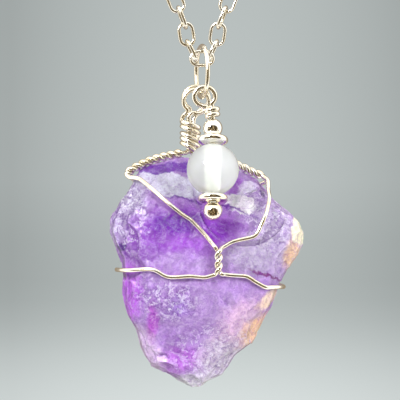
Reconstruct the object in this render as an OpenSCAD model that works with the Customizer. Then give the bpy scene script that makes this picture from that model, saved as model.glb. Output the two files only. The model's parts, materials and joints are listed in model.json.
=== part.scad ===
// Raw amethyst in a cage of silver wire, hung from a cable chain by a jump ring,
// with a moonstone bead drop in front. Millimetres, +Z up, the front faces -Y.
// The origin is the top of the chain loop, where the clasp lies on the nape.
// The pendant's own sizes and routes are measured from the hinge: the middle of
// the lowest link, about which the jump ring swings.

/* [Stone] */
// Width of the stone across its shoulders
stone_w = 30.4; // [29:0.2:32]
// Height of the stone from its ridge to its tip
stone_h = 35.2; // [34:0.2:37]
// Thickness of the stone before its faces broke off
stone_t = 14.2; // [13:0.2:15]

/* [Cage wire] */
// Diameter of the cage wire
wire_d = 0.64; // [0.5:0.02:0.64]
// Gap between two wires that lie against each other
wire_gap = 0.1; // [0.08:0.01:0.12]
// Gap between a wire and the stone under it
stone_gap = 0.2; // [0.18:0.01:0.3]

/* [Jump ring] */
// Outer diameter of the jump ring
ring_od = 8.6; // [8.4:0.1:8.8]
// Wire of the jump ring
ring_wire = 0.7; // [0.6:0.05:0.7]
// Turn of the jump ring about the vertical, in degrees
ring_turn = 13; // [8:1:15]

/* [Bead drop] */
// Diameter of the moonstone bead
bead_d = 8; // [7.8:0.1:8]
// Diameter of the two silver balls
ball_d = 3; // [2.8:0.1:3]
// Diameter of the rondelles
spacer_d = 4.7; // [4.5:0.1:4.9]
// Thickness of the rondelles
spacer_t = 1.4; // [1.3:0.1:1.5]
// Wire of the head pin
pin_d = 0.7; // [0.6:0.05:0.7]
// Lean of the pin towards the front, in degrees
pin_lean = 16; // [15:1:17]

/* [Chain] */
// Length of a link
link_l = 4; // [4:0.1:4.2]
// Width of a link
link_w = 2.7; // [2.6:0.1:2.8]
// Wire of a link
link_wire = 0.55; // [0.5:0.05:0.55]
// Play between two links
link_play = 0.2; // [0.2:0.02:0.24]
// Lean of the two straight strands from the vertical, in degrees
strand_lean = 21; // [20.5:0.1:21.5]

/* [Clasp] */
// Outer diameter of the clasp ring
clasp_od = 6; // [5.6:0.2:6]
// Wire of the clasp ring
clasp_wire = 1.2; // [1:0.1:1.3]

/* [Hidden] */

X = 0;
Y = 1;
Z = 2;

// How far the stone's driving sizes stretch the shape below
ridge_z = -15.5;
stretch = [stone_w / 30.4, stone_t / 14.2, stone_h / 35.2];
function fit(p) = [p[X] * stretch[X], p[Y] * stretch[Y], ridge_z + (p[Z] - ridge_z) * stretch[Z]];

// Sections of the stone: height, left edge, right edge, front, back
stone_rows = [
    [-15.5,  -3.6, -0.4,  0.8, 3.0],
    [-16.0,  -5.2,  0.5,  0.6, 3.2],
    [-16.6,  -7.4,  2.6,  0.2, 3.9],
    [-17.3,  -9.2,  4.9, -0.4, 4.6],
    [-18.2, -10.1,  7.0, -1.1, 5.3],
    [-19.2, -10.7,  9.0, -1.8, 5.9],
    [-20.5, -11.5, 10.2, -2.7, 6.5],
    [-22.0, -12.7, 11.8, -3.6, 7.0],
    [-23.4, -13.7, 13.6, -4.3, 7.3],
    [-25.0, -14.3, 15.1, -4.9, 7.5],
    [-26.8, -14.6, 15.8, -5.4, 7.7],
    [-28.8, -13.9, 15.6, -5.8, 7.8],
    [-30.8, -12.8, 14.6, -6.1, 7.8],
    [-32.6, -12.6, 13.2, -6.3, 7.7],
    [-35.0, -12.3, 12.1, -6.5, 7.5],
    [-37.3, -12.4, 11.4, -6.5, 7.2],
    [-39.6, -11.8, 10.2, -6.3, 6.8],
    [-41.9, -10.5,  9.1, -5.9, 6.3],
    [-44.2,  -9.9,  7.7, -5.3, 5.6],
    [-45.9,  -9.2,  5.4, -4.7, 5.0],
    [-47.4,  -8.1,  4.5, -4.0, 4.3],
    [-48.9,  -4.8,  3.4, -3.1, 3.4],
    [-50.1,  -3.2,  0.9, -2.1, 2.4],
    [-50.7,  -2.3, -0.6, -1.2, 1.4]
];
// Flat broken faces that cut the rounded body: depth at the middle of the
// stone's height, slope along X, slope along Z
mid_z = -30;
front_faces = [
    [-8.37, 0.09, 0.69],
    [-5.35, -0.10, 0.21],
    [-5.55, 0.13, 0.10],
    [-7.6, -0.03, -0.21]
];
back_faces = [
    [11.2, 0.10, -0.42],
    [7.3, -0.12, -0.05],
    [7.1, 0.14, 0.02],
    [9.2, 0.02, 0.24]
];
squareness = 2.5;
columns = 20;

function row_value(z, column) = lookup(-z, [for (row = stone_rows) [-row[0], row[column]]]);
function section(z) =
    let (left = row_value(z, 1), right = row_value(z, 2), front = row_value(z, 3), back = row_value(z, 4))
    [(left + right) / 2, (right - left) / 2, (front + back) / 2, (back - front) / 2];
function face_depth(face, x, z) = face[0] + face[1] * x + face[2] * (z - mid_z);
function front_limit(x, z) = max([for (face = front_faces) face_depth(face, x, z)]);
function back_limit(x, z) = min([for (face = back_faces) face_depth(face, x, z)]);
// A broken face never cuts into the core of the section that it belongs to
core_half = 0.7;
function cut(y, x, z, middle) = y < middle
    ? max(y, min(front_limit(x, z), middle - core_half))
    : min(y, max(back_limit(x, z), middle + core_half));

// The stone's outline in the section at height z: 0 is the right edge, 90 the
// back, 180 the left edge and 270 the front
function rounded(c) = sign(c) * pow(abs(c), 2 / squareness);
function outline(angle, z) =
    let (s = section(z), x = s[0] + s[1] * rounded(cos(angle)), y = s[2] + s[3] * rounded(sin(angle)))
    [x, cut(y, x, z, s[2]), z];

// Depth of the stone's front (side = -1) or back (side = 1) at a place on it
function depth(x, z, side) =
    let (s = section(z), share = min(0.98, abs(x - s[0]) / s[1]),
         y = s[2] + side * s[3] * pow(1 - pow(share, squareness), 1 / squareness))
    cut(y, x, z, s[2]);

// A wire's centre is lifted off the stone along the surface's own direction
wire_lift = wire_d / 2 + stone_gap;
reach = 0.4;
function on_face(x, z, side, lift = wire_lift) =
    let (slope_x = (depth(x + reach, z, side) - depth(x - reach, z, side)) / (2 * reach),
         slope_z = (depth(x, z + reach, side) - depth(x, z - reach, side)) / (2 * reach),
         outward = unit([-side * slope_x, side, -side * slope_z]))
    fit([x, depth(x, z, side), z]) + outward * lift;
function on_front(x, z, lift = wire_lift) = on_face(x, z, -1, lift);
function on_back(x, z, lift = wire_lift) = on_face(x, z, 1, lift);
function around(angle, z) =
    let (along = outline(angle + 3, z) - outline(angle - 3, z))
    fit(outline(angle, z)) + unit([along[Y], -along[X], 0]) * wire_lift;

// Curves
function unit(v) = v / norm(v);
function last(p) = p[len(p) - 1];
function reverse(p) = [for (i = [len(p) - 1:-1:0]) p[i]];
function along(p, i) = unit(p[min(i + 1, len(p) - 1)] - p[max(i - 1, 0)]);
function square_to(v, t) = unit(v - t * (v * t));
function carried(p, first) =
    [for (i = 0, n = square_to(first, along(p, 0)); i < len(p);
          i = i + 1, n = square_to(n, along(p, min(i, len(p) - 1)))) n];
function lengths(p) =
    [for (i = 0, s = 0; i < len(p); i = i + 1, s = s + norm(p[min(i, len(p) - 1)] - p[i - 1])) s];
function eased(a, b, c, d, t) =
    (2 * b + (c - a) * t + (2 * a - 5 * b + 4 * c - d) * t * t + (3 * b - a - 3 * c + d) * t * t * t) / 2;
function smooth(p, step) =
    [for (i = [0:len(p) - 2])
        let (parts = max(1, round(norm(p[i + 1] - p[i]) / step)))
        for (part = [0:parts - 1])
            eased(p[max(i - 1, 0)], p[i], p[i + 1], p[min(i + 2, len(p) - 1)], part / parts),
     last(p)];

// One wire of a twisted pair that follows an axis
pair_r = (wire_d + wire_gap) / 2;
twist_step = 0.27;
function twisted(axis, start, turns) =
    let (p = smooth(axis, twist_step), s = lengths(p), n = carried(p, [0, 1, 0]))
    [for (i = [0:len(p) - 1])
        let (t = along(p, i), a = start + 360 * turns * s[i] / last(s))
        p[i] + pair_r * (cos(a) * n[i] + sin(a) * cross(t, n[i]))];

// Turns of wire wound round a straight core from one point to another
function coil(from, to, r, turns, start) =
    let (t = unit(to - from), n = square_to([0, 1, 0], t), steps = round(abs(turns) * 10))
    [for (i = [0:steps])
        let (share = i / steps, a = start + 360 * turns * share)
        from + (to - from) * share + r * (cos(a) * n + sin(a) * cross(t, n))];

// A round wire swept along a route
module wire(route, d, sides) {
    n = carried(route, [0.3, 1, 0.2]);
    count = len(route);
    rings = [for (i = [0:count - 1])
        let (t = along(route, i), b = cross(t, n[i]))
        for (side = [0:sides - 1])
            route[i] + d / 2 * (n[i] * cos(360 * side / sides) + b * sin(360 * side / sides))];
    walls = [for (i = [0:count - 2], side = [0:sides - 1])
        let (a = i * sides + side, b = i * sides + (side + 1) % sides)
        [a, a + sides, b + sides, b]];
    start_cap = [for (side = [0:sides - 1]) side];
    end_cap = [for (side = [sides - 1:-1:0]) (count - 1) * sides + side];
    polyhedron(rings, concat([start_cap, end_cap], walls), convexity = 10);
}

// Silver cage: two wires, each a lasso that leaves the foot of the shank, crosses
// the front, goes round one side and comes back over the stone to the shank.
cage_sides = 6;
plain_step = 0.9;
shank_x = -2;
shank_y = 1.8;
wrap_x = shank_x + 0.2;
wrap_r = 1.32;
tuck_x = shank_x + 0.75;
function core(side, z) = [shank_x, shank_y + side * pair_r, z];
// The turns lean, more so towards the foot of the shank
wrap_top_z = -10;
function wrap_lean(z) = 0.22 + 0.05 * (wrap_top_z - z);
function wrap(from_z, to_z, turns, start) =
    [for (p = coil([wrap_x, shank_y, from_z], [wrap_x, shank_y, to_z], wrap_r, turns, start))
        p - [0, 0, wrap_lean(p[Z]) * (p[X] - wrap_x)]];

// Hanging loops, one of each wire, side by side on the jump ring. The left one
// comes up from its wrap past the side of the shank.
shank_side = [-2.9, 1.62, -8.9];
loop_centre = [-0.9, 1.8, -6.69];
loop_lean = 12;
loop_half = [1.95, 1.85];
// The jump ring rises towards its back, and the back loop with it
back_loop_rise = 0.5;
loop_across = [cos(loop_lean), 0, -sin(loop_lean)];
loop_up = [sin(loop_lean), 0, cos(loop_lean)];
function hanging_loop(side) =
    [for (a = [-60:24:252])
        loop_centre + side * [0, pair_r, 0] + max(side, 0) * [0, 0, back_loop_rise]
        + loop_half[0] * side * cos(a) * loop_across + loop_half[1] * sin(a) * loop_up];

left_pair = [[-3.2, 1.5, -14.6], [-5.7, 1.6, -15.1], [-7.2, 1.6, -15.5], [-8.8, 1.6, -16.1],
             [-10.4, 1.7, -16.9], [-11.6, 1.8, -17.7]];
right_pair = [[-0.9, 1.6, -14.6], [1.5, 1.6, -15.2], [4, 1.8, -15.9], [6, 1.9, -16.7],
              [7.7, 2.1, -17.5], [9.3, 2.2, -18.1]];
left_pair_turns = 4;
right_pair_turns = 4.5;
pair_lift = wire_lift + pair_r;
high_lift = wire_lift + 0.12;
middle_turns = 1.5;
front_twist = [for (z = [-29.4, -31.4, -33.2]) on_front(2.4, z, pair_lift)];
back_twist = [for (z = [-33.6, -31.6, -29.8]) on_back(0.8, z, pair_lift)];

left_front = [[-11.3, 0.9, -18.3], on_front(-9.4, -18.9), on_front(-7.5, -20.5), on_front(-5.2, -22.4),
              on_front(-2.8, -24.3), on_front(-1.7, -25), on_front(0.4, -27.2)];
right_front = [[10.1, 1.1, -18.8], on_front(9.9, -20.7), on_front(10.1, -22.1), on_front(9.7, -24.3),
               on_front(8.9, -25.9), on_front(8, -27.4), on_front(5.8, -28), on_front(4.4, -28.4)];
low_right = [on_front(4.4, -33.4), on_front(6.7, -33.6), on_front(7.9, -34.3), on_front(9.4, -35.1),
             around(-35, -35.2), around(-18, -35.2), around(0, -35.2), around(25, -35),
             around(50, -34.7), on_back(3.4, -34.2)];
low_left = [on_front(0.4, -33.7), on_front(-1.7, -33.6), on_front(-5.1, -33.7), on_front(-7.5, -32.6),
            around(217, -32.6), around(198, -32.6), around(180, -32.6), around(155, -32.8),
            around(130, -33.2), on_back(-1.6, -33.9)];
left_back = [on_back(-1, -28.4), on_back(-4, -25.6), on_back(-7, -22.6, high_lift), on_back(-9, -20, high_lift),
             [-11, 3.2, -18.4]];
right_back = [on_back(2.8, -28.2), on_back(5.4, -25.2), on_back(7.2, -22.4, high_lift), on_back(8.5, -20, high_lift),
              [10, 3.6, -19]];

left_route = smooth(concat(
    wrap(-11.2, wrap_top_z, -1.5, -90), [shank_side], hanging_loop(-1), [core(-1, -8.9), core(-1, -14.2)],
    twisted(left_pair, 180, left_pair_turns), left_front,
    twisted(front_twist, 270, middle_turns), low_right,
    twisted(back_twist, 270, middle_turns), left_back,
    reverse(twisted(left_pair, 0, left_pair_turns))), plain_step);
right_route = smooth(concat(
    [[tuck_x, shank_y, -11], [tuck_x, shank_y + 0.2, -9.4]], hanging_loop(1),
    [core(1, -8.9), core(1, -14.2)],
    twisted(right_pair, 0, right_pair_turns), right_front,
    twisted(front_twist, 90, middle_turns), low_left,
    twisted(back_twist, 90, middle_turns), right_back,
    reverse(twisted(right_pair, 180, right_pair_turns)), wrap(-13.75, -11.6, -2.7, 190)), plain_step);

module cage_wire_left() {
    color("silver") wire(left_route, wire_d, cage_sides);
}

module cage_wire_right() {
    color("silver") wire(right_route, wire_d, cage_sides);
}

module amethyst() {
    points = [for (row = stone_rows, column = [0:columns - 1]) fit(outline(360 * column / columns, row[0]))];
    rows = len(stone_rows);
    walls = [for (row = [0:rows - 2], column = [0:columns - 1])
        let (a = row * columns + column, b = row * columns + (column + 1) % columns)
        each [[a, b, b + columns], [a, b + columns, a + columns]]];
    top = [for (column = [columns - 1:-1:0]) column];
    foot = [for (column = [0:columns - 1]) (rows - 1) * columns + column];
    color("mediumpurple") polyhedron(points, concat([top, foot], walls), convexity = 6);
}

// Jump ring, hung so that its swing clears the link that it hangs on
link_reach = link_w / 2 + 0.15;
ring_r = (ring_od - ring_wire) / 2;
ring_z = link_reach - ring_r + ring_wire / 2;
module jump_ring() {
    color("silver") translate([0, 0, ring_z]) rotate([0, 0, ring_turn]) rotate([0, 90, 0])
        rotate_extrude($fn = 64) translate([ring_r, 0]) circle(d = ring_wire, $fn = 24);
}

// Bead drop. Each piece rests in the next one's bore, a small gap apart.
drop_centre = [1.65, -4.7, -17.2];
drop_gap = 0.1;
bead_bore = 1;
spacer_bore = 2;
function nested(d) = sqrt(pow(d / 2, 2) - pow(spacer_bore / 2, 2));
spacer_at = nested(bead_d) + spacer_t / 2 + drop_gap;
ball_at = spacer_at + spacer_t / 2 + nested(ball_d) + drop_gap;
module on_pin(height) {
    translate(drop_centre) rotate([-pin_lean, 0, 0]) translate([0, 0, height]) children();
}
function pin_point(height) = drop_centre + height * [0, sin(pin_lean), cos(pin_lean)];

module drilled_ball(d, bore) {
    difference() {
        sphere(d = d, $fn = 48);
        cylinder(d = bore, h = d + 1, center = true, $fn = 24);
    }
}

module rondelle() {
    straight = (spacer_d - spacer_t - spacer_bore) / 2;
    rotate_extrude($fn = 48) {
        translate([spacer_bore / 2, -spacer_t / 2]) square([straight, spacer_t]);
        translate([spacer_bore / 2 + straight, 0]) circle(d = spacer_t, $fn = 24);
    }
}

module moonstone() {
    color("aliceblue") on_pin(0) drilled_ball(bead_d, bead_bore);
}

module top_ball() {
    color("silver") on_pin(ball_at) drilled_ball(ball_d, bead_bore);
}

module spacer_top() {
    color("silver") on_pin(spacer_at) rondelle();
}

module spacer_bottom() {
    color("silver") on_pin(-spacer_at) rondelle();
}

// Head pin: from its ball up through the beads, round the eye, and wound back
// down round its own neck
pin_sides = 8;
eye_half = [1.6, 1.46];
eye_centre = [0.4, -2, -5.97];
neck_top = [1.5, -1.95, -7.3];
neck_foot = pin_point(ball_at + ball_d / 2 + 0.2);
neck_wrap_r = pin_d + 0.14;
eye = [for (a = [-45:15:255]) eye_centre + [eye_half[0] * cos(a), 0, eye_half[1] * sin(a)]];
neck_wrap = coil([1.53, -2.04, -7.6], [1.62, -2.4, -9.1], neck_wrap_r, 2, 270);
pin_route = smooth(concat([pin_point(-ball_at), pin_point(0), neck_foot, neck_top], eye, neck_wrap), 1.2);
module head_pin() {
    color("silver") {
        wire(pin_route, pin_d, pin_sides);
        on_pin(-ball_at) sphere(d = ball_d, $fn = 48);
    }
}

// Chain. Links are the sides of a polygon that starts at the hinge, rises
// steeply in two straight strands and closes in a round arc at the nape. The
// sharp bends beside the lowest link need some slack.
link_pitch = link_l - 2 * link_wire - link_play;
first_rises = [64, 81];
hinge_slack = [0.356, 0, 0.1164];
lowest_link_drop = 0.08;
straight_links = 46;
arc_links = 34;
rise = 90 - strand_lean;
arc_turn = (180 - rise) / (arc_links + 0.8);
rises = concat(first_rises, [for (i = [1:straight_links]) rise],
               [for (i = [0:arc_links - 1]) rise + arc_turn * (i + 0.6)]);
strand_start = [link_pitch / 2, 0, 0] - hinge_slack;
strand = [for (i = 0, p = strand_start; i <= len(rises);
               p = p + (i < len(rises) ? link_pitch * [cos(rises[i]), 0, sin(rises[i])] : [0, 0, 0]),
               i = i + 1) p];
strand_end = last(strand);
loop_height = strand_end[Z];

module half_turn() {
    rotate_extrude(angle = 180, $fn = 20) translate([(link_w - link_wire) / 2, 0]) circle(d = link_wire, $fn = 16);
}

module link() {
    straight = link_l - link_w;
    translate([straight / 2, 0, 0]) rotate([0, 0, -90]) half_turn();
    translate([-straight / 2, 0, 0]) rotate([0, 0, 90]) half_turn();
    for (side = [-1, 1])
        translate([0, side * (link_w - link_wire) / 2, 0]) rotate([0, 90, 0])
            cylinder(d = link_wire, h = straight, center = true, $fn = 16);
}

// Near the pendant the links nearly face front or stand on edge, and from
// there the chain turns slowly until they all lean by 45 degrees at the clasp
turned = 36;
turning_from = 8;
turning_links = 12;
function roll(i) =
    (i % 2 == 0 ? -45 : 45) + turned * (1 - min(1, max(0, (i - turning_from) / turning_links)));
module strand_links() {
    for (i = [0:len(rises) - 1])
        translate((strand[i] + strand[i + 1]) / 2) rotate([0, -rises[i], 0])
            rotate([roll(i), 0, 0]) link();
}

module chain_left() {
    color("silver") mirror([1, 0, 0]) strand_links();
}

module chain_right() {
    color("silver") {
        translate([0, 0, -lowest_link_drop]) rotate([roll(-1), 0, 0]) link();
        strand_links();
    }
}

// Clasp: a closing ring with a small ring soldered to it
clasp_r = (clasp_od - clasp_wire) / 2;
clasp_roll = 45;
tail_wire = 0.7;
solder = 0.3;
bow_x = strand_end[X] - (link_l - link_wire - link_pitch) / 2;
function held_x(wire) = bow_x + (link_wire + wire) / 2 + link_play;
clasp_x = held_x(clasp_wire) - clasp_r;
tail_r = (clasp_x - clasp_r - (clasp_wire + tail_wire) / 2 + solder + held_x(tail_wire)) / 2;
tail_x = tail_r - held_x(tail_wire);
module clasp() {
    color("silver") translate([0, 0, loop_height]) rotate([clasp_roll, 0, 0]) {
        translate([clasp_x, 0, 0]) rotate_extrude($fn = 48) translate([clasp_r, 0]) circle(d = clasp_wire, $fn = 24);
        translate([tail_x, 0, 0]) rotate_extrude($fn = 36) translate([tail_r, 0]) circle(d = tail_wire, $fn = 24);
    }
}

module hung() {
    translate([0, 0, -loop_height]) children();
}

hung() amethyst();
hung() cage_wire_left();
hung() cage_wire_right();
hung() jump_ring();
hung() head_pin();
hung() top_ball();
hung() spacer_top();
hung() moonstone();
hung() spacer_bottom();
hung() chain_left();
hung() chain_right();
hung() clasp();
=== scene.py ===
# %% [markdown]
# # Raw amethyst in a cage of silver wire
# This notebook dresses a necklace that already exists as plain solids: a raw
# amethyst, two cage wires, a jump ring, a drop of beads and a cable chain. Each
# step says what the piece is on the real necklace, how it could be made in
# Blender, and why it is made this way. Sizes are in millimetres, from the hinge
# where the jump ring hangs on the lowest link, and are turned into metres once.

# %% Load the plain solids
import json
import math
import random

import bmesh
import bpy
import numpy as np
from mathutils import Matrix, Vector, kdtree, noise


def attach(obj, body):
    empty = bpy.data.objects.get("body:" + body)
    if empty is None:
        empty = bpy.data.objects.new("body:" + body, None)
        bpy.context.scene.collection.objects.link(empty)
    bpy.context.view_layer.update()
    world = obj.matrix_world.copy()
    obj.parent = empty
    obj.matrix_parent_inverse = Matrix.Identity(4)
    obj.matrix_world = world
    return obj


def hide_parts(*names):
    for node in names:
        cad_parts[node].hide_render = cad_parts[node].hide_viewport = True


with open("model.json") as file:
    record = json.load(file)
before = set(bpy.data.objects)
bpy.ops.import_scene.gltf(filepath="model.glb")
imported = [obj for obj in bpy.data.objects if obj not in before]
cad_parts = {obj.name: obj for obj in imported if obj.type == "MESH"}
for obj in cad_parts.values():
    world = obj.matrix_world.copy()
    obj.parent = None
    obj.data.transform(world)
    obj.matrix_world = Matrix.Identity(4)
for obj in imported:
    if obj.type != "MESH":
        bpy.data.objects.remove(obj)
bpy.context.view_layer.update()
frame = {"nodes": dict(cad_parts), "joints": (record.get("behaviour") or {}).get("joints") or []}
MM = 0.001
hinge = Vector(frame["joints"][0]["pos_m"])
print("hinge at", tuple(round(c, 4) for c in hinge))


def from_hinge(x, y, z):
    """A place in metres, given in millimetres from the hinge."""
    return hinge + Vector((x, y, z)) * MM


def linear(red, green, blue):
    """A colour as a screen shows it, 0 to 255, turned into the light that the shaders use."""
    parts = [c / 255 for c in (red, green, blue)]
    return tuple(c / 12.92 if c < 0.04045 else ((c + 0.055) / 1.055) ** 2.4 for c in parts) + (1.0,)


# %% [markdown]
# ## Camera
# The necklace was seen level and from the front. A long lens from 0.6 m away
# keeps the perspective as calm as it is in a close-up of jewellery.

# %% Camera
picture_width = 61.6 * MM
camera_distance = 600 * MM
# The middle of the view, in mm from the hinge
VIEW_MIDDLE = (-0.31, 0, -21.87)
camera_data = bpy.data.cameras.new("camera")
camera_data.sensor_width = 36
camera_data.lens = camera_data.sensor_width * camera_distance / picture_width
camera = bpy.data.objects.new("camera", camera_data)
camera.location = from_hinge(*VIEW_MIDDLE) - Vector((0, camera_distance, 0))
camera.rotation_euler = (math.pi / 2, 0, 0)
bpy.context.scene.collection.objects.link(camera)
bpy.context.scene.camera = camera
bpy.context.scene.view_settings.view_transform = "Standard"
print("lens", round(camera_data.lens, 1), "mm")

# %% [markdown]
# ## Nodes
# Every material below is a small network of nodes. One helper adds a node with
# its options, and one fills or links its inputs, so that a network reads from top
# to bottom like a recipe. The others are the steps that come back most often,
# such as a mix of two colours, a sum, a range and a ramp.


# %% Node helpers
def fill(tree, node, inputs):
    """Gives a node's inputs, by name or number, a value or the socket to link."""
    for key, value in inputs.items():
        if isinstance(value, bpy.types.NodeSocket):
            tree.links.new(value, node.inputs[key])
        else:
            node.inputs[key].default_value = value


def add(tree, kind, inputs=None, **options):
    """Adds a node with its options and inputs."""
    made = tree.nodes.new(kind)
    for key, value in options.items():
        setattr(made, key, value)
    fill(tree, made, inputs or {})
    return made


def mixed(tree, share, first, second, blend="MIX"):
    """The socket of a mix of two colours."""
    mix = add(tree, "ShaderNodeMix", {0: share, 6: first, 7: second}, data_type="RGBA", blend_type=blend)
    return mix.outputs[2]


def calc(tree, operation, first, second=0.0):
    """The socket of one sum."""
    return add(tree, "ShaderNodeMath", {0: first, 1: second}, operation=operation).outputs[0]


def vector(tree, operation, first, second=(0, 0, 0)):
    """The node of one sum of vectors."""
    return add(tree, "ShaderNodeVectorMath", {0: first, 1: second}, operation=operation)


def far_out(tree, place, middle, reach):
    """How far a place lies from a middle, measured in reaches along x, y and z."""
    offset = vector(tree, "SUBTRACT", place, middle).outputs[0]
    scaled = vector(tree, "DIVIDE", offset, reach).outputs[0]
    return vector(tree, "LENGTH", scaled).outputs["Value"]


def ranged(tree, value, low, high, out_low=0.0, out_high=1.0):
    """A value taken smoothly from one range to another."""
    made = add(tree, "ShaderNodeMapRange", {0: value, 1: low, 2: high, 3: out_low, 4: out_high},
               interpolation_type="SMOOTHSTEP")
    return made.outputs[0]


def ramp(tree, value, stops):
    """A colour ramp from a list of (place, colour)."""
    made = add(tree, "ShaderNodeValToRGB", {0: value})
    elements = made.color_ramp.elements
    while len(elements) < len(stops):
        elements.new(0.5)
    for element, (place, colour) in zip(elements, stops):
        element.position, element.color = place, colour
    return made.outputs[0]


def new_material(name):
    """A material with its tree of nodes and its main shader."""
    material = bpy.data.materials.new(name)
    material.use_nodes = True
    return material, material.node_tree, material.node_tree.nodes["Principled BSDF"]


# %% [markdown]
# ## Studio
# The real backdrop is a pale, cool grey sweep, brighter at the foot and dimmer
# at the sides. The world does this by direction, so the floor can lie far below
# and stay out of the close view. Mirrors such as silver need something to
# reflect, so glossy rays see a white tent with a dark, warm opening in front, whose
# ragged edge breaks the reflections up as a room does.

# %% World
world = bpy.data.worlds.new("studio")
world.use_nodes = True
bpy.context.scene.world = world
sky = world.node_tree
sky.nodes.clear()
half_view = picture_width / camera_distance / 2
looking = add(sky, "ShaderNodeTexCoord").outputs["Generated"]
direction = add(sky, "ShaderNodeSeparateXYZ", {0: looking})

# %% Backdrop, as the camera sees it
height = calc(sky, "DIVIDE", direction.outputs["Z"], 2 * half_view)
height = add(sky, "ShaderNodeClamp", {0: calc(sky, "ADD", height, 0.5)}).outputs[0]
# Height in the picture and the green value there; the sweep is dimmest where it bends
SWEEP = [(0.0, 222), (0.04, 218), (0.11, 209), (0.15, 202), (0.2, 194), (0.25, 188),
         (0.3, 186), (0.4, 188), (0.55, 196), (0.7, 195), (1.0, 191)]
backdrop = ramp(sky, height, [(place, linear(green - 7, green, green - 1)) for place, green in SWEEP])
# Half pictures to the right of the middle, and how much the sides dim at the foot and above it
brightest_across = 0.06
dimming_low, dimming_high = 0.12, 0.25
across = calc(sky, "SUBTRACT", calc(sky, "DIVIDE", direction.outputs["X"], half_view), brightest_across)
across = add(sky, "ShaderNodeClamp", {0: across, 1: -1.0, 2: 1.0}).outputs[0]
side_dimming = ranged(sky, height, 0.0, 0.4, dimming_low, dimming_high)
dimming = calc(sky, "MULTIPLY", calc(sky, "MULTIPLY", across, across), side_dimming)
backdrop = mixed(sky, 1.0, backdrop, calc(sky, "SUBTRACT", 1.0, dimming), "MULTIPLY")
print("backdrop has", len(SWEEP), "heights")

# %% Tent, as the silver sees it
# A reach so long that the place along it doesn't matter
anywhere = 1000
OPENING_MIDDLE, OPENING_REACH = (0, 0, -0.15), (0.9, anywhere, 0.74)
opening_raggedness = 0.7
front = ranged(sky, direction.outputs["Y"], 0.05, -0.25)
room = add(sky, "ShaderNodeTexNoise", {"Vector": looking, "Scale": 4.0, "Detail": 2.0})
from_opening = far_out(sky, looking, OPENING_MIDDLE, OPENING_REACH)
notches = calc(sky, "MULTIPLY", calc(sky, "SUBTRACT", room.outputs[0], 0.5), opening_raggedness)
opening = calc(sky, "MULTIPLY", front, ranged(sky, calc(sky, "ADD", from_opening, notches), 1.06, 0.94))
room_colour = ramp(sky, room.outputs[0], [
    (0.4, linear(20, 22, 16)), (0.54, linear(70, 56, 38)), (0.68, linear(196, 174, 132))])
cloth = ramp(sky, room.outputs[0], [
    (0.4, linear(255, 254, 250)), (0.6, linear(246, 240, 226)), (0.74, linear(190, 176, 150))])
tent = mixed(sky, ranged(sky, direction.outputs["Y"], 0.3, 0.7), cloth, linear(134, 124, 112))
studio = mixed(sky, opening, tent, room_colour)

# %% Both in one world
mirrored_strength = 1.55
seen = add(sky, "ShaderNodeBackground", {"Color": backdrop, "Strength": 1.0})
mirrored = add(sky, "ShaderNodeBackground", {"Color": studio, "Strength": mirrored_strength})
both = add(sky, "ShaderNodeMixShader", {
    0: add(sky, "ShaderNodeLightPath").outputs["Is Glossy Ray"], 1: seen.outputs[0], 2: mirrored.outputs[0]})
add(sky, "ShaderNodeOutputWorld", {0: both.outputs[0]})
print("world has", len(sky.nodes), "nodes")

# %% Lights
LIGHTS = [
    # name, place in mm from the hinge, side in mm, power in watts
    ("key", (-240, -330, 200), 110, 1.9),
    ("fill", (300, -260, 60), 200, 1.8),
    ("rim", (60, 300, 200), 200, 1.2),
    ("foot", (20, -230, -290), 220, 0.3),
]
AIM = (0, 0, -28)
aim = from_hinge(*AIM)
for name, place, side, power in LIGHTS:
    light_data = bpy.data.lights.new(name, "AREA")
    light_data.size = side * MM
    light_data.energy = power
    light = bpy.data.objects.new(name, light_data)
    light.location = from_hinge(*place)
    light.rotation_euler = (aim - light.location).to_track_quat("-Z", "Y").to_euler()
    light.visible_camera = False
    light.visible_glossy = name == "key"
    bpy.context.scene.collection.objects.link(light)
print(len(LIGHTS), "lights look at", AIM)

# %% Floor
# In metres, far below the close view
floor_radius, floor_height = 8.0, -0.9
floor_shape = bmesh.new()
bmesh.ops.create_circle(floor_shape, cap_ends=True, segments=96, radius=floor_radius)
bmesh.ops.translate(floor_shape, verts=floor_shape.verts, vec=(0, 0, floor_height))
floor_mesh = bpy.data.meshes.new("floor")
floor_shape.to_mesh(floor_mesh)
floor = bpy.data.objects.new("floor", floor_mesh)
bpy.context.scene.collection.objects.link(floor)
floor_paint, tree, shader = new_material("pale floor")
fill(tree, shader, {"Base Color": linear(226, 230, 228), "Roughness": 0.9})
floor_mesh.materials.append(floor_paint)
floor.visible_glossy = False
print("floor lies at", floor_height, "m")

# %% [markdown]
# ## Silver
# Hand-worked silver is a mirror with a story: it is bright where it rubs and a
# little warmer and duller where it doesn't. One node group gives that slow
# change of colour and roughness, and each silver uses it with its own values.
# Nodes that keep their plain mesh get their silver here.


# %% Patina group
def group(name, inputs, outputs):
    """A shader node group with named sockets, and its input and output nodes."""
    tree = bpy.data.node_groups.new(name, "ShaderNodeTree")
    for label, kind, value in inputs:
        socket = tree.interface.new_socket(label, in_out="INPUT", socket_type=kind)
        if value is not None:
            socket.default_value = value
    for label, kind in outputs:
        tree.interface.new_socket(label, in_out="OUTPUT", socket_type=kind)
    return tree, tree.nodes.new("NodeGroupInput"), tree.nodes.new("NodeGroupOutput")


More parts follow.
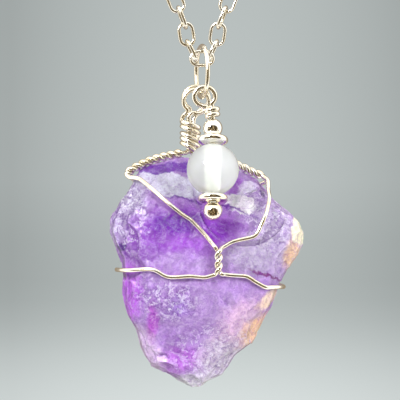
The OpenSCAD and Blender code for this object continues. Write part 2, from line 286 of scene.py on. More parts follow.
patina, patina_in, patina_out = group(
    "patina",
    [("Bright", "NodeSocketColor", (0.9, 0.9, 0.9, 1)), ("Warm", "NodeSocketColor", (0.8, 0.7, 0.6, 1)),
     ("Scale", "NodeSocketFloat", 300.0), ("Polish", "NodeSocketFloat", 0.1),
     ("Dullness", "NodeSocketFloat", 0.25)],
    [("Colour", "NodeSocketColor"), ("Roughness", "NodeSocketFloat"), ("Scratches", "NodeSocketFloat")])
place = add(patina, "ShaderNodeTexCoord").outputs["Object"]
clouds = add(patina, "ShaderNodeTexNoise", {
    "Vector": place, "Scale": patina_in.outputs["Scale"], "Detail": 4.0})
worn = ranged(patina, clouds.outputs[0], 0.38, 0.66)
scratches_finer_by = 7.0
fine_scale = calc(patina, "MULTIPLY", patina_in.outputs["Scale"], scratches_finer_by)
scratches = add(patina, "ShaderNodeTexNoise", {
    "Vector": place, "Scale": fine_scale, "Detail": 3.0, "Roughness": 0.7})
span = calc(patina, "SUBTRACT", patina_in.outputs["Dullness"], patina_in.outputs["Polish"])
fill(patina, patina_out, {
    "Colour": mixed(patina, worn, patina_in.outputs["Bright"], patina_in.outputs["Warm"]),
    "Roughness": calc(patina, "ADD", patina_in.outputs["Polish"], calc(patina, "MULTIPLY", span, worn)),
    "Scratches": scratches.outputs[0]})
print("patina has", len(patina.nodes), "nodes")


# %% Silvers
def silver(name, bright, warm, scale, polish, dullness, dents):
    """A silver finish. Dents is the depth of the hammer and plier marks, in millimetres."""
    material, tree, shader = new_material(name)
    finish = add(tree, "ShaderNodeGroup", node_tree=patina)
    fill(tree, finish, {
        "Bright": bright, "Warm": warm, "Scale": scale, "Polish": polish, "Dullness": dullness})
    bump = add(tree, "ShaderNodeBump", {
        "Height": finish.outputs["Scratches"], "Strength": 0.25, "Distance": dents * MM})
    fill(tree, shader, {"Metallic": 1.0, "Base Color": finish.outputs["Colour"],
                        "Roughness": finish.outputs["Roughness"], "Normal": bump.outputs[0]})
    return material


wire_silver = silver("wire silver", linear(254, 251, 243), linear(240, 231, 210), 520.0, 0.15, 0.26, 0.06)
bead_silver = silver("bead silver", linear(254, 252, 245), linear(244, 234, 214), 260.0, 0.04, 0.1, 0.02)
chain_silver = silver("chain silver", linear(254, 253, 248), linear(243, 236, 218), 380.0, 0.1, 0.2, 0.04)
SILVERS = {
    "chain_left": chain_silver, "chain_right": chain_silver, "clasp": chain_silver,
    "jump_ring": wire_silver, "top_ball": bead_silver,
}
for node, finish in SILVERS.items():
    frame["nodes"][node].material_slots[0].material = finish
    print(node, "is", finish.name)


# %% Pieces of the scene
def dressed(name, mesh, material, body, slot, *nodes):
    """Makes a smooth mesh a piece that rides on a body and may stand for CAD nodes."""
    mesh.name = name
    mesh.polygons.foreach_set("use_smooth", [True] * len(mesh.polygons))
    mesh.materials.clear()
    mesh.materials.append(material)
    piece = bpy.data.objects.new(name, mesh)
    bpy.context.scene.collection.objects.link(piece)
    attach(piece, body)
    if nodes:
        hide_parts(*nodes)
    print(name, len(mesh.polygons), "faces")


# %% [markdown]
# ## Round wires
# The plain cage wires have six flat sides. A wire is best made as a curve with a
# round bevel, so the middle line of each plain wire is read back ring by ring
# and a smooth curve is drawn through it. Every bend then stays where it was.


# %% Middle line of a wire
# Corners nearer than this are one, in mm
weld = 0.001


def middle_line(node, end, sides):
    """The centres of a wire's rings of vertices, from the end nearest to a place."""
    shape = bmesh.new()
    shape.from_mesh(frame["nodes"][node].data)
    bmesh.ops.remove_doubles(shape, verts=shape.verts, dist=weld * MM)
    ring = sorted(shape.verts, key=lambda v: (v.co - end).length)[:sides]
    seen_verts, centres = set(ring), []
    while len(ring) == sides:
        centres.append(sum((v.co for v in ring), Vector()) / sides)
        ring = list({e.other_vert(v) for v in ring for e in v.link_edges} - seen_verts)
        seen_verts.update(ring)
    shape.free()
    print(node, "has", len(centres), "rings, then", len(ring), "vertices")
    return centres


def mesh_of(thing):
    """The final mesh of a curve or of a mesh with modifiers, which goes away itself."""
    bpy.context.view_layer.update()
    mesh = bpy.data.meshes.new_from_object(thing.evaluated_get(bpy.context.evaluated_depsgraph_get()))
    bpy.data.objects.remove(thing)
    return mesh


def round_wire(node, centres, diameter):
    """Puts a smooth round wire through the centres, for a node of the pendant."""
    name = "round_" + node
    curve = bpy.data.curves.new(name, "CURVE")
    curve.dimensions = "3D"
    curve.bevel_depth = diameter / 2 * MM
    curve.bevel_resolution = curve.resolution_u = 4
    curve.use_fill_caps = True
    spline = curve.splines.new("BEZIER")
    spline.bezier_points.add(len(centres) - 1)
    for point, centre in zip(spline.bezier_points, centres):
        point.co = centre
        point.handle_left_type = point.handle_right_type = "AUTO"
    drawn = bpy.data.objects.new(name + "_curve", curve)
    bpy.context.scene.collection.objects.link(drawn)
    dressed(name, mesh_of(drawn), wire_silver, "pendant", "silver_wire", node)


# %% Cage wires
cage_wire, cage_sides = 0.68, 6
WIRE_ENDS = {
    "cage_wire_left": (-0.48, 1.8, -11.57),
    "cage_wire_right": (-1.25, 1.8, -11.0),
}
# Places along both wires, four for each ring, kept for the stone's seat
cage_points, places_each = [], 4
for node, end in WIRE_ENDS.items():
    line = middle_line(node, from_hinge(*end), cage_sides)
    cage_points += [a.lerp(b, part / places_each)
                    for a, b in zip(line, line[1:]) for part in range(places_each)]
    round_wire(node, line, cage_wire)

# %% [markdown]
# ## Head pin
# The drop hangs on a pin that ends in a ball and leans a little towards the front.
# Its wire goes up through the beads, round in an eye, and is wound back down its
# own neck. The plain pin has eight sides, so its wire is drawn again round, and
# the ball is a fresh sphere.

# %% Head pin wire
# The wire's upper end and the bead's middle, in mm from the hinge
PIN_END = (0.8, -2.4, -9.15)
BEAD_PLACE = (1.65, -4.7, -17.2)
pin_lean = math.radians(16)
ball_down, spacer_up = 6.59, 4.67
pin_wire, pin_sides = 0.76, 8


def on_pin(up):
    """The place on the pin's line at a height above the bead's middle."""
    return from_hinge(*BEAD_PLACE) + Vector((0, math.sin(pin_lean), math.cos(pin_lean))) * up * MM


pin_line = middle_line("head_pin", from_hinge(*PIN_END), pin_sides) + [on_pin(-ball_down)]
round_wire("head_pin", pin_line, pin_wire)


# %% Head pin ball
def mesh_from(shape, name="shape"):
    """Turns a bmesh into a mesh."""
    mesh = bpy.data.meshes.new(name)
    shape.to_mesh(mesh)
    shape.free()
    return mesh


def finished(name, shape, *says):
    """Turns a bmesh with its faces outwards into a piece, as dressed says."""
    bmesh.ops.recalc_face_normals(shape, faces=shape.faces)
    dressed(name, mesh_from(shape), *says)


ball_radius = 1.5
ball_shape = bmesh.new()
bmesh.ops.create_uvsphere(ball_shape, u_segments=48, v_segments=24, radius=ball_radius * MM)
bmesh.ops.translate(ball_shape, verts=ball_shape.verts, vec=on_pin(-ball_down))
finished("head_pin_ball", ball_shape, bead_silver, "pendant", "silver_wire")

# %% [markdown]
# ## Chain
# A cable chain is one soldered oval link, repeated. The plain links are right but
# heavy, so one light link is made: a small circle is spun half way round each end
# and the open mouths are bridged. It is then laid on each plain link, whose long
# and wide directions are read from how its own corners are spread.

# %% One link
link_length, link_width, link_wire = 4.0, 2.7, 0.55
around_wire, around_bend = 8, 9


def one_link():
    """The mesh of one link, long along X and wide along Y."""
    shape, mouths = bmesh.new(), []
    for end in (1, -1):
        centre = Vector((end * (link_length - link_width) / 2, 0, 0)) * MM
        to_side = Vector((0, end * (link_width - link_wire) / 2 * MM, 0))
        circle = bmesh.ops.create_circle(shape, segments=around_wire, radius=link_wire / 2 * MM)["verts"]
        bmesh.ops.rotate(shape, verts=circle, cent=(0, 0, 0), matrix=Matrix.Rotation(math.pi / 2, 3, "Y"))
        bmesh.ops.translate(shape, verts=circle, vec=centre - to_side)
        first = list({e for v in circle for e in v.link_edges})
        bend = bmesh.ops.spin(shape, geom=circle + first, cent=centre, axis=(0, 0, 1),
                              angle=math.pi, steps=around_bend, use_merge=False)
        mouths.append((first, [item for item in bend["geom_last"] if isinstance(item, bmesh.types.BMEdge)]))
    bmesh.ops.bridge_loops(shape, edges=mouths[0][1] + mouths[1][0])
    bmesh.ops.bridge_loops(shape, edges=mouths[1][1] + mouths[0][0])
    return mesh_from(shape, "one_link")


link_mesh = one_link()
print("one link has", len(link_mesh.polygons), "faces")


# %% Both strands
LINKS = {"chain_left": 82, "chain_right": 83}


def listed(items, what, width=3, kind=float):
    """A mesh's corners or edges as an array, with one row for each."""
    values = np.zeros(len(items) * width, kind)
    items.foreach_get(what, values)
    return values.reshape(-1, width)


def link_frames(node, count):
    """The middle, the long way and the wide way of each link, since the corners come link by link."""
    found = []
    for points in listed(frame["nodes"][node].data.vertices, "co").reshape(count, -1, 3):
        middle = (points.min(0) + points.max(0)) / 2
        spread = np.linalg.eigh(np.cov((points - middle).T))[1]
        found.append((Vector(middle), Vector(spread[:, 2]), Vector(spread[:, 1])))
        assert np.ptp(points, axis=0).max() < 1.1 * link_length * MM, "the corners of two links are mixed"
    return found


for node, count in LINKS.items():
    strand = bmesh.new()
    for place, long_way, wide_way in link_frames(node, count):
        link = link_mesh.copy()
        link.transform(Matrix((long_way, wide_way, long_way.cross(wide_way))).transposed().to_4x4())
        link.transform(Matrix.Translation(place))
        strand.from_mesh(link)
        bpy.data.meshes.remove(link)
    finished(node.replace("chain", "cable_chain"), strand, chain_silver, "chain", "silver_chain", node)

# %% [markdown]
# ## Stone: its broken shape
# Raw amethyst breaks like thick glass, in flat faces, shallow scoops and sharp
# rims, with finer steps between them. The plain stone gives the big faces. A copy
# is remeshed into small even squares, and then shaved the way a stone chips: each
# chip is a plane or a ball, and the stone in front of the plane or inside the ball
# is pushed back to its surface. Chips and steps only take away, so the stone stays
# clear of the wires round it.

# %% Fine copy of the stone
stone_grid = 0.2


def stone_copy():
    """The plain stone as small even squares."""
    shape = bmesh.new()
    shape.from_mesh(frame["nodes"]["amethyst"].data)
    bmesh.ops.remove_doubles(shape, verts=shape.verts, dist=weld * MM)
    start = bpy.data.objects.new("stone_start", mesh_from(shape, "stone_start"))
    bpy.context.scene.collection.objects.link(start)
    remesh = start.modifiers.new("squares", "REMESH")
    remesh.mode = "VOXEL"
    remesh.voxel_size = stone_grid * MM
    return mesh_of(start)


stone_mesh = stone_copy()
print("stone has", len(stone_mesh.polygons), "squares")
corners = (listed(stone_mesh.vertices, "co") - np.array(hinge)) / MM
facing_out = listed(stone_mesh.vertices, "normal")
before_chips = corners.copy()


# %% Ways to chip
def shave_flat(points, place, outward, reach):
    """Pushes what stands outside a plane back onto it, within a reach of its middle."""
    away = (points - place) @ outward
    near = np.linalg.norm(points - place, axis=1) < reach
    cut = np.where(near & (away > 0), away, 0.0)
    return points - cut[:, None] * outward


def scoop(points, place, outward, radius, depth):
    """Pushes what lies inside a ball out of it, as a shell-shaped break does."""
    centre = place + outward * (radius - depth)
    spoke = points - centre
    distance = np.linalg.norm(spoke, axis=1)
    inside = distance < radius
    return np.where(inside[:, None], centre + spoke / np.maximum(distance, 1e-6)[:, None] * radius, points)


def unit(v):
    """A direction of length one."""
    v = np.array(v, float)
    return v / np.linalg.norm(v)


# %% Chips that are seen
turned_away = 0.2


def front_at(x, z):
    """The point of the stone's front nearest to a place seen from there."""
    gap = (corners[:, 0] - x) ** 2 + (corners[:, 2] - z) ** 2
    gap = np.where(facing_out[:, 1] < turned_away, gap, np.inf)
    return corners[gap.argmin()]


# A face that looks half way between the camera and the key light mirrors that light
key_way = (Vector(LIGHTS[0][1]) - Vector(AIM)).normalized()
GLINT = tuple((key_way + Vector((0, -1, 0))).normalized())
SEEN_CHIPS = [
    # x, z on the front, outward direction, depth, radius of the ball or minus the reach of the plane
    (-13.3, -24.6, (-0.75, -0.6, 0.35), 0.7, -7),
    (-13.0, -27.6, (-0.8, -0.5, -0.35), 0.7, -7),
    (-12.0, -29.0, (-0.4, -0.9, 0.2), 0.3, 4),
    (-11.0, -21.0, (-0.55, -0.6, 0.5), 0.45, -7),
    (-9.5, -18.8, (-0.3, -0.7, 0.6), 0.35, 5),
    (-5.2, -19.0, (0.08, -0.86, 0.5), 0.3, -7),
    (-1.0, -17.0, (0.0, -0.6, 0.8), 0.25, 5),
    (-12.7, -25.4, GLINT, 0.5, -2.2),
    (-11.7, -23.2, GLINT, 0.35, -1.8),
    (-10.6, -20.2, GLINT, 0.3, -1.6),
    (-9.3, -24.0, GLINT, 0.15, -1.2),
    (-11.0, -34.6, GLINT, 0.3, -1.4),
    (-9.6, -43.4, GLINT, 0.3, -1.6),
    (-6.4, -46.4, GLINT, 0.3, -1.4),
    (9.0, -19.8, GLINT, 0.3, -1.4),
    (5.2, -19.6, (-0.2, -0.8, 0.5), 0.4, -7),
    (6.4, -22.4, (0.12, -0.93, 0.35), 0.3, -7),
    (10.5, -20.8, (0.6, -0.5, 0.6), 0.4, 6),
    (13.4, -24.6, (0.7, -0.6, 0.3), 0.5, 5),
    (14.6, -27.6, (0.75, -0.6, -0.2), 0.4, 4),
    (12.6, -32.0, (0.7, -0.7, -0.1), 0.5, 5),
    (11.4, -37.4, (0.7, -0.65, -0.3), 0.35, 4),
    (8.8, -41.6, (0.6, -0.65, -0.45), 0.5, 5),
    (5.6, -46.0, (0.5, -0.6, -0.6), 0.5, 4),
    (2.5, -48.5, (0.3, -0.6, -0.7), 0.4, 4),
    (-1.5, -49.6, (-0.2, -0.6, -0.75), 0.4, 4),
    (-5.4, -47.6, (-0.3, -0.6, -0.7), 0.5, 4),
    (-8.4, -45.6, (-0.6, -0.6, -0.5), 0.6, 4),
    (-10.2, -42.4, (-0.75, -0.5, -0.4), 0.6, 4),
    (-11.6, -39.2, (-0.8, -0.5, -0.2), 0.5, 4),
    (-11.9, -36.0, (-0.8, -0.6, 0.1), 0.5, 5),
    (-7.2, -41.5, (-0.2, -0.95, 0.0), 0.3, 5),
    (-4.4, -45.0, (-0.1, -0.9, -0.3), 0.3, 5),
    (2.0, -44.0, (0.1, -0.95, -0.2), 0.3, 7),
]
for x, z, outward, depth, radius in SEEN_CHIPS:
    spot, outward = front_at(x, z), unit(outward)
    if radius > 0:
        corners = scoop(corners, spot, outward, radius, depth)
    else:
        corners = shave_flat(corners, spot - outward * depth, outward, -radius)
print(len(SEEN_CHIPS), "chips on the front")

# %% Chips that are hidden
# On the back and the sides, where nothing is seen, the chips fall at random. Sizes in mm
hidden_chips, on_front, most_tilt = 170, -0.3, 0.35
CHIP_DEPTHS, BALL_RADII, plane_reach = (0.04, 0.16), (2.5, 7), 4.0
chips, fallen = random.Random(5), 0
for _ in range(hidden_chips):
    pick = chips.randrange(len(corners))
    if facing_out[pick][1] < on_front:
        continue
    tilt = np.array([chips.uniform(-1, 1) for _ in range(3)])
    outward = unit(facing_out[pick] + most_tilt * tilt)
    depth = chips.uniform(*CHIP_DEPTHS)
    if chips.random() < 0.5:
        corners = scoop(corners, corners[pick], outward, chips.uniform(*BALL_RADII), depth)
    else:
        corners = shave_flat(corners, corners[pick] - outward * depth, outward, plane_reach)
    fallen += 1
print(fallen, "chips on the sides and the back")


# %% Fine steps
# Takes cells that are neighbours to directions that aren't
cell_spread = 7.3


def cell_step(point, size):
    """Small tilted faces: each cell of a pattern leans its own way."""
    cell = noise.voronoi(point / size)[1][0]
    lean = noise.cell_vector(cell * cell_spread) - Vector((0.5, 0.5, 0.5))
    return (point / size - cell).dot(lean)


# Size of the cells, their steps in the middle of the stone and what the margin adds, in mm
CELLS = [(2.6, 0.16, 0.26), (1.1, 0.06, 0.14)]
middle_x, middle_z, half_width, half_height = 0.6, -32, 13, 17
margin_steepness = 1.5
ridge_depth, all_over, ridge_scale = 0.05, 0.12, 0.55
# How the layers fade, how much finer each is, how many, their offset and gain
RIDGES = (0.9, 2.1, 4, 1.0, 2.0)
relief = np.zeros(len(corners))
for index, point in enumerate(corners):
    here = Vector(point)
    to_margin = ((here.x - middle_x) / half_width) ** 2 + ((here.z - middle_z) / half_height) ** 2
    to_margin = min(1.0, to_margin ** margin_steepness)
    step = sum((inside + added * to_margin) * cell_step(here, size) for size, inside, added in CELLS)
    step += ridge_depth * noise.ridged_multi_fractal(here * ridge_scale, *RIDGES) - all_over
    relief[index] = min(step, 0.0)
corners = corners + facing_out * relief[:, None]

# %% Limits of what is shaved
# The most that goes, in mm: less at the outline, and nearly nothing at the top, where the wires lie
outline_cap, face_cap = 0.3, 1.1
top_height, top_fade, top_share = -17.0, 4, 0.1
cap = outline_cap + (face_cap - outline_cap) * np.abs(facing_out[:, 1])
cap *= np.clip((top_height - before_chips[:, 2]) / top_fade, top_share, 1.0)
shaved = corners - before_chips
depth = np.linalg.norm(shaved, axis=1)
corners = before_chips + shaved * np.minimum(1.0, cap / np.maximum(depth, 1e-6))[:, None]
print("stone is shaved by", round(float(np.minimum(depth, cap).mean()), 2), "mm on average")

# %% [markdown]
# ## Stone: its seat
# The twisted pairs lie on the stone's upper edge, but a stiff wire drawn through
# few points stands a little off it. Here alone the stone grows: its edge rises
# towards the nearest wire and stops just short of it.

# %% Seat under the twisted pairs
# How low the seat goes, the gap it leaves, how far off it starts and the most it rises, in mm
seat_foot, seat_gap, seat_reach, seat_rise = -20.0, 0.05, 1.5, 0.5
seat_steepness, worth_telling = 2.2, 0.05
pair_tree = kdtree.KDTree(len(cage_points))
for index, place in enumerate(cage_points):
    pair_tree.insert((place - hinge) / MM, index)
pair_tree.balance()
raised = 0
for index in np.flatnonzero(corners[:, 2] > seat_foot):
    point = Vector(corners[index])
    nearest, _, distance = pair_tree.find(point)
    space = distance - cage_wire / 2 - seat_gap
    closeness = min(1.0, seat_steepness * max(0.0, 1 - distance / seat_reach))
    share = min(1.0, point.z - seat_foot) * closeness
    if space > 0 and share > 0:
        step = share * min(space, seat_rise)
        corners[index] = point + (nearest - point).normalized() * step
        raised += step > worth_telling
print("the pairs' seat raises", raised, "corners")
stone_mesh.vertices.foreach_set("co", (corners * MM + np.array(hinge)).ravel())
stone_mesh.update()

# %% [markdown]
# ## Stone: its rims and creases
# Light catches the sharp rims of a raw stone, and its creases lie in shade. The
# colour paints both: a painted highlight on the rims and painted shade in the
# creases. A shader can't tell one from the other, so both are measured on the
# mesh, smoothed a little and stored in it, where the material reads them like a
# painted mask.


# %% Rims and creases
def bend_of_surface(mesh, places):
    """How far each corner stands out of its neighbours' middle, in mm: rims above 0, creases below."""
    pairs = listed(mesh.edges, "vertices", 2, int)
    both_ways = np.vstack((pairs, pairs[:, ::-1]))
    count = np.bincount(both_ways[:, 0], minlength=len(places))
    total = np.zeros_like(places)
    np.add.at(total, both_ways[:, 0], places[both_ways[:, 1]])
    bend = ((places - total / count[:, None]) * listed(mesh.vertices, "normal")).sum(1)
    for _ in range(2):
        around = np.zeros(len(places))
        np.add.at(around, both_ways[:, 0], bend[both_ways[:, 1]])
        bend = 0.5 * bend + 0.5 * around / count
    return bend


# The bend in mm that fills the mask
full_bend = 0.02
surface_bend = bend_of_surface(stone_mesh, corners)
for name, sign in (("rim", 1), ("crease", -1)):
    strength = np.clip(sign * surface_bend / full_bend, 0, 1)
    stone_mesh.attributes.new(name, "FLOAT", "POINT").data.foreach_set("value", strength)
    print(name, "covers", round(float((strength > 0.5).mean()), 2), "of the stone")

# %% [markdown]
# ## Stone: its colour
# Amethyst is coloured in zones: a deep violet heart, magenta margins, nearly
# clear smoke at the tip and rusty stains in the cracks of one side. Some zones
# paint light as well: pale faces near the top are a painted reflection of the
# bright studio, the left margin and the tip are painted lighter as a glow of light
# through their thin edges, and a dark line along a crease is painted shade. A zone
# is a soft ball of colour whose edge is bent by noise. One node group makes such a
# zone, and a table places them, so the colours can be moved like brush marks.
# Over them come fine cracks, thin lines where a noise crosses one value, and the
# painted highlight on rims and painted shade in creases. Small flakes in the bump
# map catch the light.

# %% Zone group
zone, zone_in, zone_out = group(
    "zone",
    [("Place", "NodeSocketVector", None), ("Middle", "NodeSocketVector", None),
     ("Reach", "NodeSocketVector", (1, 1, 1)), ("Slant", "NodeSocketFloat", 0.0),
     ("Feather", "NodeSocketFloat", 0.45)],
    [("Mask", "NodeSocketFloat")])
offset = vector(zone, "SUBTRACT", zone_in.outputs["Place"], zone_in.outputs["Middle"])
parts = add(zone, "ShaderNodeSeparateXYZ", {0: offset.outputs[0]})
slanted = calc(zone, "MULTIPLY", parts.outputs["X"], zone_in.outputs["Slant"])
tilted = calc(zone, "SUBTRACT", parts.outputs["Z"], slanted)
tilted = add(zone, "ShaderNodeCombineXYZ", {0: parts.outputs["X"], 1: parts.outputs["Y"], 2: tilted})
scaled = vector(zone, "DIVIDE", tilted.outputs[0], zone_in.outputs["Reach"])
distance = vector(zone, "LENGTH", scaled.outputs[0])
outside_share = 0.8
outer = calc(zone, "ADD", 1.0, calc(zone, "MULTIPLY", zone_in.outputs["Feather"], outside_share))
inner = calc(zone, "SUBTRACT", 1.0, zone_in.outputs["Feather"])
zone.links.new(ranged(zone, distance.outputs["Value"], outer, inner), zone_out.inputs["Mask"])
print("zone has", len(zone.nodes), "nodes")

# %% Colour zones
BODY_COLOUR = linear(178, 138, 208)
ZONES = [
    # name, middle, reach along x, y and z, slant, feather, strength, colour
    ("lower lilac", (0.5, -2, -38.5), (8, 9, 5), 0.0, 0.6, 0.7, linear(182, 152, 204)),
    ("right haze", (10.5, -2, -27.5), (5, 9, 6), 0.0, 0.5, 0.85, linear(194, 180, 208)),
    ("lower right", (5.6, -2, -41.0), (4, 9, 4), 0.5, 0.5, 0.8, linear(236, 200, 222)),
    ("left shoulder", (-11.1, -1, -21.1), (2.8, 8, 3.8), 0.0, 0.4, 0.75, linear(190, 184, 206)),
    ("wide heart", (-2.4, -3, -26.5), (10, 8, 4.1), -0.05, 0.5, 0.9, linear(156, 68, 202)),
    ("left arm", (-8.8, -2, -29.4), (4.5, 8, 2.6), 0.3, 0.6, 0.75, linear(150, 70, 198)),
    ("deep heart", (-3.8, -4, -25.3), (4.6, 7, 1.7), 0.12, 0.45, 1.0, linear(104, 0, 162)),
    ("deep heart right", (2.6, -4, -26.4), (2.8, 7, 1.4), 0.1, 0.5, 0.95, linear(116, 8, 168)),
    ("milky step", (-2.6, -4, -31.4), (4.2, 6, 1.5), -0.05, 0.6, 0.8, linear(180, 144, 208)),
    ("right middle", (6.8, -3, -30.3), (4.4, 8, 2.8), 0.0, 0.5, 0.8, linear(174, 164, 186)),
    # Painted reflection: the three pale faces below are flat faces near the top, painted nearly white lilac
    # where they mirror the bright studio.
    ("upper face", (-4.6, -2, -19.4), (5.6, 8, 1.9), -0.2, 0.12, 1.0, linear(222, 218, 238)),
    ("right face", (5.6, -3, -22.3), (2.6, 6, 1.7), -0.2, 0.1, 1.0, linear(255, 248, 255)),
    ("right upper face", (7.0, -2, -20.0), (1.6, 6, 1.1), 0.0, 0.1, 0.9, linear(242, 230, 255)),
    ("ridge strip", (-5.6, 0, -17.0), (5.0, 6, 0.8), 0.1, 0.25, 0.95, linear(104, 26, 166)),
    ("magenta corner", (4.7, -3, -19.2), (1.8, 6, 1.4), 0.0, 0.3, 0.8, linear(150, 60, 190)),
    # Painted shade: a dark violet line along a crease, where shade falls in it.
    ("crease line", (0.4, -4, -22.4), (8.6, 5, 0.24), -0.236, 0.5, 0.9, linear(104, 30, 156)),
    ("ear", (-13.1, -2, -26.0), (1.6, 6, 2.2), 0.0, 0.3, 0.6, linear(184, 170, 206)),
    ("ear spot", (-12.4, -3, -29.0), (0.9, 4, 0.9), 0.0, 0.2, 0.95, linear(60, 6, 120)),
    # The left margin is partly its own magenta and partly painted glow: it is painted lighter and more vivid
    # for the light that comes through its thin edge.
    ("left margin", (-11.0, 0, -36.4), (2.0, 9, 4.6), 0.1, 0.4, 0.95, linear(200, 98, 240)),
    ("streak", (-7.6, -3, -40.6), (0.9, 6, 3.2), 0.0, 0.5, 0.9, linear(182, 84, 198)),
    ("blue patch", (-3.6, -4, -38.2), (1.8, 5, 1.4), 0.0, 0.6, 0.5, linear(160, 124, 216)),
    ("foot violet", (-2.8, -1, -46.2), (4.2, 8, 2.2), 0.1, 0.5, 0.9, linear(196, 116, 224)),
    ("foot edge", (-8.2, -1, -45.4), (2.6, 8, 3.6), -0.8, 0.4, 0.8, linear(244, 214, 248)),
    ("smoky foot", (3.0, -1, -46.4), (4.4, 8, 4.0), 0.0, 0.5, 0.85, linear(204, 195, 203)),
    # The tip is partly its own clear smoke and partly painted glow: it is painted nearly white for the light
    # that comes through the thin tip.
    ("clear tip", (-1.0, 0, -50.4), (5.0, 8, 2.0), 0.0, 0.5, 0.9, linear(246, 240, 246)),
    ("rust low", (8.0, -1, -41.9), (2.7, 6, 2.2), 0.6, 0.4, 1.0, linear(255, 206, 160)),
    ("rust high", (10.4, -2, -37.0), (2.2, 5, 1.2), 0.6, 0.4, 0.95, linear(255, 220, 188)),
    ("rust rim", (13.7, -1, -30.0), (1.5, 6, 2.2), 0.7, 0.4, 1.0, linear(232, 194, 160)),
    ("cream rim", (15.2, 0, -26.2), (1.5, 6, 2.6), 0.0, 0.2, 1.0, linear(255, 246, 206)),
    ("inclusion", (10.0, -4, -33.3), (3.0, 4, 0.3), -0.4, 0.4, 0.9, linear(116, 24, 110)),
]
print(len(ZONES), "colour zones")

# %% Zones on the stone
amethyst, tree, shader = new_material("amethyst")
stone_place = add(tree, "ShaderNodeMapping", {
    "Vector": add(tree, "ShaderNodeTexCoord").outputs["Object"],
    "Location": tuple(-c / MM for c in hinge), "Scale": (1 / MM, 1 / MM, 1 / MM)}).outputs[0]
# Bent by up to about half of this, in mm, so that no zone has an even edge
bend_range, HALF_GREY = 3.4, (0.5, 0.5, 0.5)
bend = add(tree, "ShaderNodeTexNoise", {
    "Vector": stone_place, "Scale": 0.35, "Detail": 5.0, "Roughness": 0.62})
bend = vector(tree, "SUBTRACT", bend.outputs["Color"], HALF_GREY)
bend = vector(tree, "MULTIPLY", bend.outputs[0], (bend_range, bend_range, bend_range))
bent_place = vector(tree, "ADD", stone_place, bend.outputs[0]).outputs[0]


def zone_mask(name, middle, reach, slant, feather, strength):
    """The mask of one zone."""
    mask = add(tree, "ShaderNodeGroup", node_tree=zone, label=name)
    fill(tree, mask, {
        "Place": bent_place, "Middle": middle, "Reach": reach, "Slant": slant, "Feather": feather})
    return calc(tree, "MULTIPLY", mask.outputs[0], strength)


colour = BODY_COLOUR
for *zone_values, zone_colour in ZONES:
    colour = mixed(tree, zone_mask(*zone_values), colour, zone_colour)


# %% Cracks and haze
def lines(place, scale, middle, width, amount):
    """Thin winding lines where a noise crosses one value, made weaker by an amount."""
    field = add(tree, "ShaderNodeTexNoise", {
        "Vector": place, "Scale": scale, "Detail": 6.0, "Roughness": 0.6})
    off_value = calc(tree, "ABSOLUTE", calc(tree, "SUBTRACT", field.outputs[0], middle))
    return calc(tree, "MULTIPLY", ranged(tree, off_value, width, 0.0), amount)


cells = add(tree, "ShaderNodeTexVoronoi", {"Vector": bent_place, "Scale": 0.55})
cell_tone = add(tree, "ShaderNodeSeparateColor", {0: cells.outputs["Color"]}).outputs[0]
haze = add(tree, "ShaderNodeTexNoise", {"Vector": bent_place, "Scale": 0.9, "Detail": 8.0, "Roughness": 0.68})
tone = calc(tree, "MULTIPLY", ranged(tree, cell_tone, 0.0, 1.0, 0.86, 1.1),
            ranged(tree, haze.outputs[0], 0.3, 0.7, 0.82, 1.16))
colour = mixed(tree, 1.0, colour, tone, "MULTIPLY")
colour = mixed(tree, lines(bent_place, 0.5, 0.5, 0.016, 0.2), colour, linear(238, 226, 252))
colour = mixed(tree, lines(stone_place, 0.8, 0.46, 0.014, 0.6), colour, linear(120, 44, 164))
colour = mixed(tree, lines(bent_place, 1.5, 0.53, 0.02, 0.45), colour, linear(140, 70, 190))
CRACKED = [
    # name, middle and reach of a cracked place, scale and share of its cracks
    ("ear cracks", (-11.6, -1, -24.0), (3.4, 8, 6.4), 0.9, 0.9),
    ("core cracks", (-5.6, -3, -37.2), (5.4, 8, 3.2), 1.1, 0.8),
    ("edge cracks", (10.2, -3, -24.0), (4.0, 8, 5.4), 0.8, 0.6),
    ("foot cracks", (1.6, -3, -45.0), (7.0, 8, 5.0), 0.8, 0.55),
]
crack_width, crack_slant, crack_feather = 0.04, 0.0, 0.5
for name, middle, reach, scale, share in CRACKED:
    amount = zone_mask(name, middle, reach, crack_slant, crack_feather, share)
    colour = mixed(tree, lines(stone_place, scale, 0.52, crack_width, amount), colour, linear(96, 40, 140))
    colour = mixed(tree, lines(bent_place, scale, 0.56, crack_width, amount), colour, linear(246, 240, 255))
# Painted highlight and painted shade: pale lilac on sharp rims, where light catches them, and dark violet in
# creases, where shade falls.
for name, share, highlight_or_shade_colour in (("rim", 0.16, linear(240, 228, 252)), ("crease", 0.3, linear(116, 44, 166))):
    rim_highlight_or_crease_shade = add(tree, "ShaderNodeAttribute", attribute_name=name).outputs["Fac"]
    colour = mixed(tree, calc(tree, "MULTIPLY", rim_highlight_or_crease_shade, share), colour, highlight_or_shade_colour)
frost = add(tree, "ShaderNodeTexNoise", {
    "Vector": stone_place, "Scale": 2.2, "Detail": 5.0, "Roughness": 0.7})
colour = mixed(tree, ranged(tree, frost.outputs[0], 0.58, 0.74, 0.0, 0.12), colour, linear(236, 226, 250))

# %% Flakes and how the stone takes light
flakes = add(tree, "ShaderNodeTexVoronoi", {"Vector": bent_place, "Scale": 1.2})
lean = vector(tree, "SUBTRACT", flakes.outputs["Color"], HALF_GREY)
arm = vector(tree, "SUBTRACT", bent_place, flakes.outputs["Position"])
flake_height = vector(tree, "DOT_PRODUCT", arm.outputs[0], lean.outputs[0]).outputs["Value"]
flake_bump = add(tree, "ShaderNodeBump", {"Height": flake_height, "Strength": 0.6, "Distance": 0.35 * MM})
chip_bump = add(tree, "ShaderNodeBump", {
    "Height": frost.outputs[0], "Strength": 0.5, "Distance": 0.2 * MM, "Normal": flake_bump.outputs[0]})
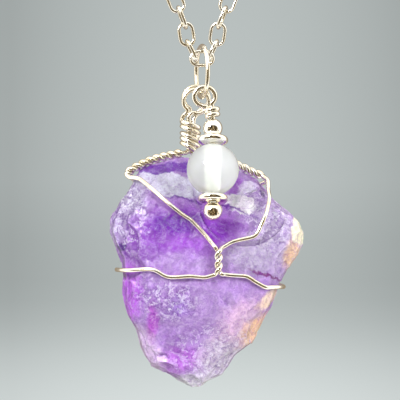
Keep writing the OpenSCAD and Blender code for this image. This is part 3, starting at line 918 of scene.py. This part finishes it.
# Clearer in its core than at its worn margin
from_core = far_out(tree, stone_place, (0.6, 0, -31.5), (14.5, anywhere, 18.5))
fill(tree, shader, {
    "Base Color": colour, "Normal": chip_bump.outputs[0],
    "Roughness": ranged(tree, frost.outputs[0], 0.35, 0.7, 0.06, 0.26),
    "Transmission Weight": ranged(tree, from_core, 0.7, 1.0, 0.3, 0.1),
    "IOR": 1.5, "Specular IOR Level": 0.35, "Coat Weight": 0.2, "Coat Roughness": 0.06,
    "Subsurface Weight": 0.4, "Subsurface Scale": 1.2 * MM, "Subsurface Radius": (1.0, 0.7, 1.2)})
print("amethyst has", len(tree.nodes), "nodes")

# %% Stone piece
sharp_angle = math.radians(24)
dressed("raw_amethyst", stone_mesh, amethyst, "pendant", "amethyst", "amethyst")
stone_mesh.set_sharp_from_angle(angle=sharp_angle)

# %% [markdown]
# ## Beads on the pin
# Each bead's profile, its round outside and its straight hole, is spun once round
# the pin. The two rondelles are flat silver beads that hold the moonstone and the
# balls in the rims of their holes. The moonstone is nearly clear, with a milky
# glow, and a painted glow along its drilled hole: the hole's wall is given a faint
# emission for the bright band where light gathers there.

# %% Bead shapes
outline_steps, bead_turns = 40, 96


def drilled_bead(radius, half_height, bore_radius, up, fullness=2.0):
    """A bead with a straight hole, spun round the pin at a height on it. Fullness over 2 makes it blunter."""
    shape = bmesh.new()
    power = 2 / fullness
    top = math.asin((bore_radius / radius) ** (1 / power))
    outline = []
    for step in range(outline_steps + 1):
        turn = top + (math.pi - 2 * top) * step / outline_steps
        across = math.sin(turn) ** power
        along = math.copysign(abs(math.cos(turn)) ** power, math.cos(turn))
        outline.append(shape.verts.new((radius * across * MM, 0, half_height * along * MM)))
    edges = [shape.edges.new(pair) for pair in zip(outline, outline[1:] + outline[:1])]
    bmesh.ops.spin(shape, geom=outline + edges, cent=(0, 0, 0), axis=(0, 0, 1),
                   angle=math.tau, steps=bead_turns, use_merge=True)
    bmesh.ops.rotate(shape, verts=shape.verts, cent=(0, 0, 0), matrix=Matrix.Rotation(-pin_lean, 3, "X"))
    bmesh.ops.translate(shape, verts=shape.verts, vec=on_pin(up))
    return shape


# %% Rondelles
rondelle_radius, rondelle_half, rondelle_bore, rondelle_fullness = 2.35, 0.73, 1.0, 2.7
for end, up in (("top", spacer_up), ("bottom", -spacer_up)):
    rondelle = drilled_bead(rondelle_radius, rondelle_half, rondelle_bore, up, rondelle_fullness)
    finished("silver_rondelle_" + end, rondelle, bead_silver, "pendant", "silver_beads", "spacer_" + end)

# %% Moonstone
bead_radius, bead_bore = 4.0, 0.85
bead_shape = drilled_bead(bead_radius, bead_radius, bead_bore, 0)
moon, tree, shader = new_material("moonstone")
bead_space = add(tree, "ShaderNodeTexCoord").outputs["Object"]
milk = add(tree, "ShaderNodeTexNoise", {"Vector": bead_space, "Scale": 260.0, "Detail": 3.0})
# Painted glow: the wall of the hole is given a faint emission for the light that gathers along it; how far a
# place lies from the pin's line tells where it is
from_middle = vector(tree, "SUBTRACT", bead_space, tuple(from_hinge(*BEAD_PLACE)))
off_line = vector(tree, "CROSS_PRODUCT", from_middle.outputs[0], (0, math.sin(pin_lean), math.cos(pin_lean)))
off_line = vector(tree, "LENGTH", off_line.outputs[0]).outputs["Value"]
hole_wall_glow = ranged(tree, off_line, (bead_bore + 0.12) * MM, (bead_bore + 0.04) * MM)
fill(tree, shader, {
    "Base Color": mixed(tree, milk.outputs[0], linear(238, 241, 235), linear(224, 226, 225)),
    "Roughness": ranged(tree, milk.outputs[0], 0.4, 0.7, 0.03, 0.1),
    "Emission Color": mixed(tree, hole_wall_glow, (0, 0, 0, 1), (0.4, 0.4, 0.38, 1)), "Emission Strength": 1.0,
    "Transmission Weight": 0.5, "IOR": 1.52,
    "Subsurface Weight": 0.6, "Subsurface Scale": 2.5 * MM, "Subsurface Radius": (1.0, 1.0, 1.1)})
finished("moonstone_bead", bead_shape, moon, "pendant", "moonstone", "moonstone")
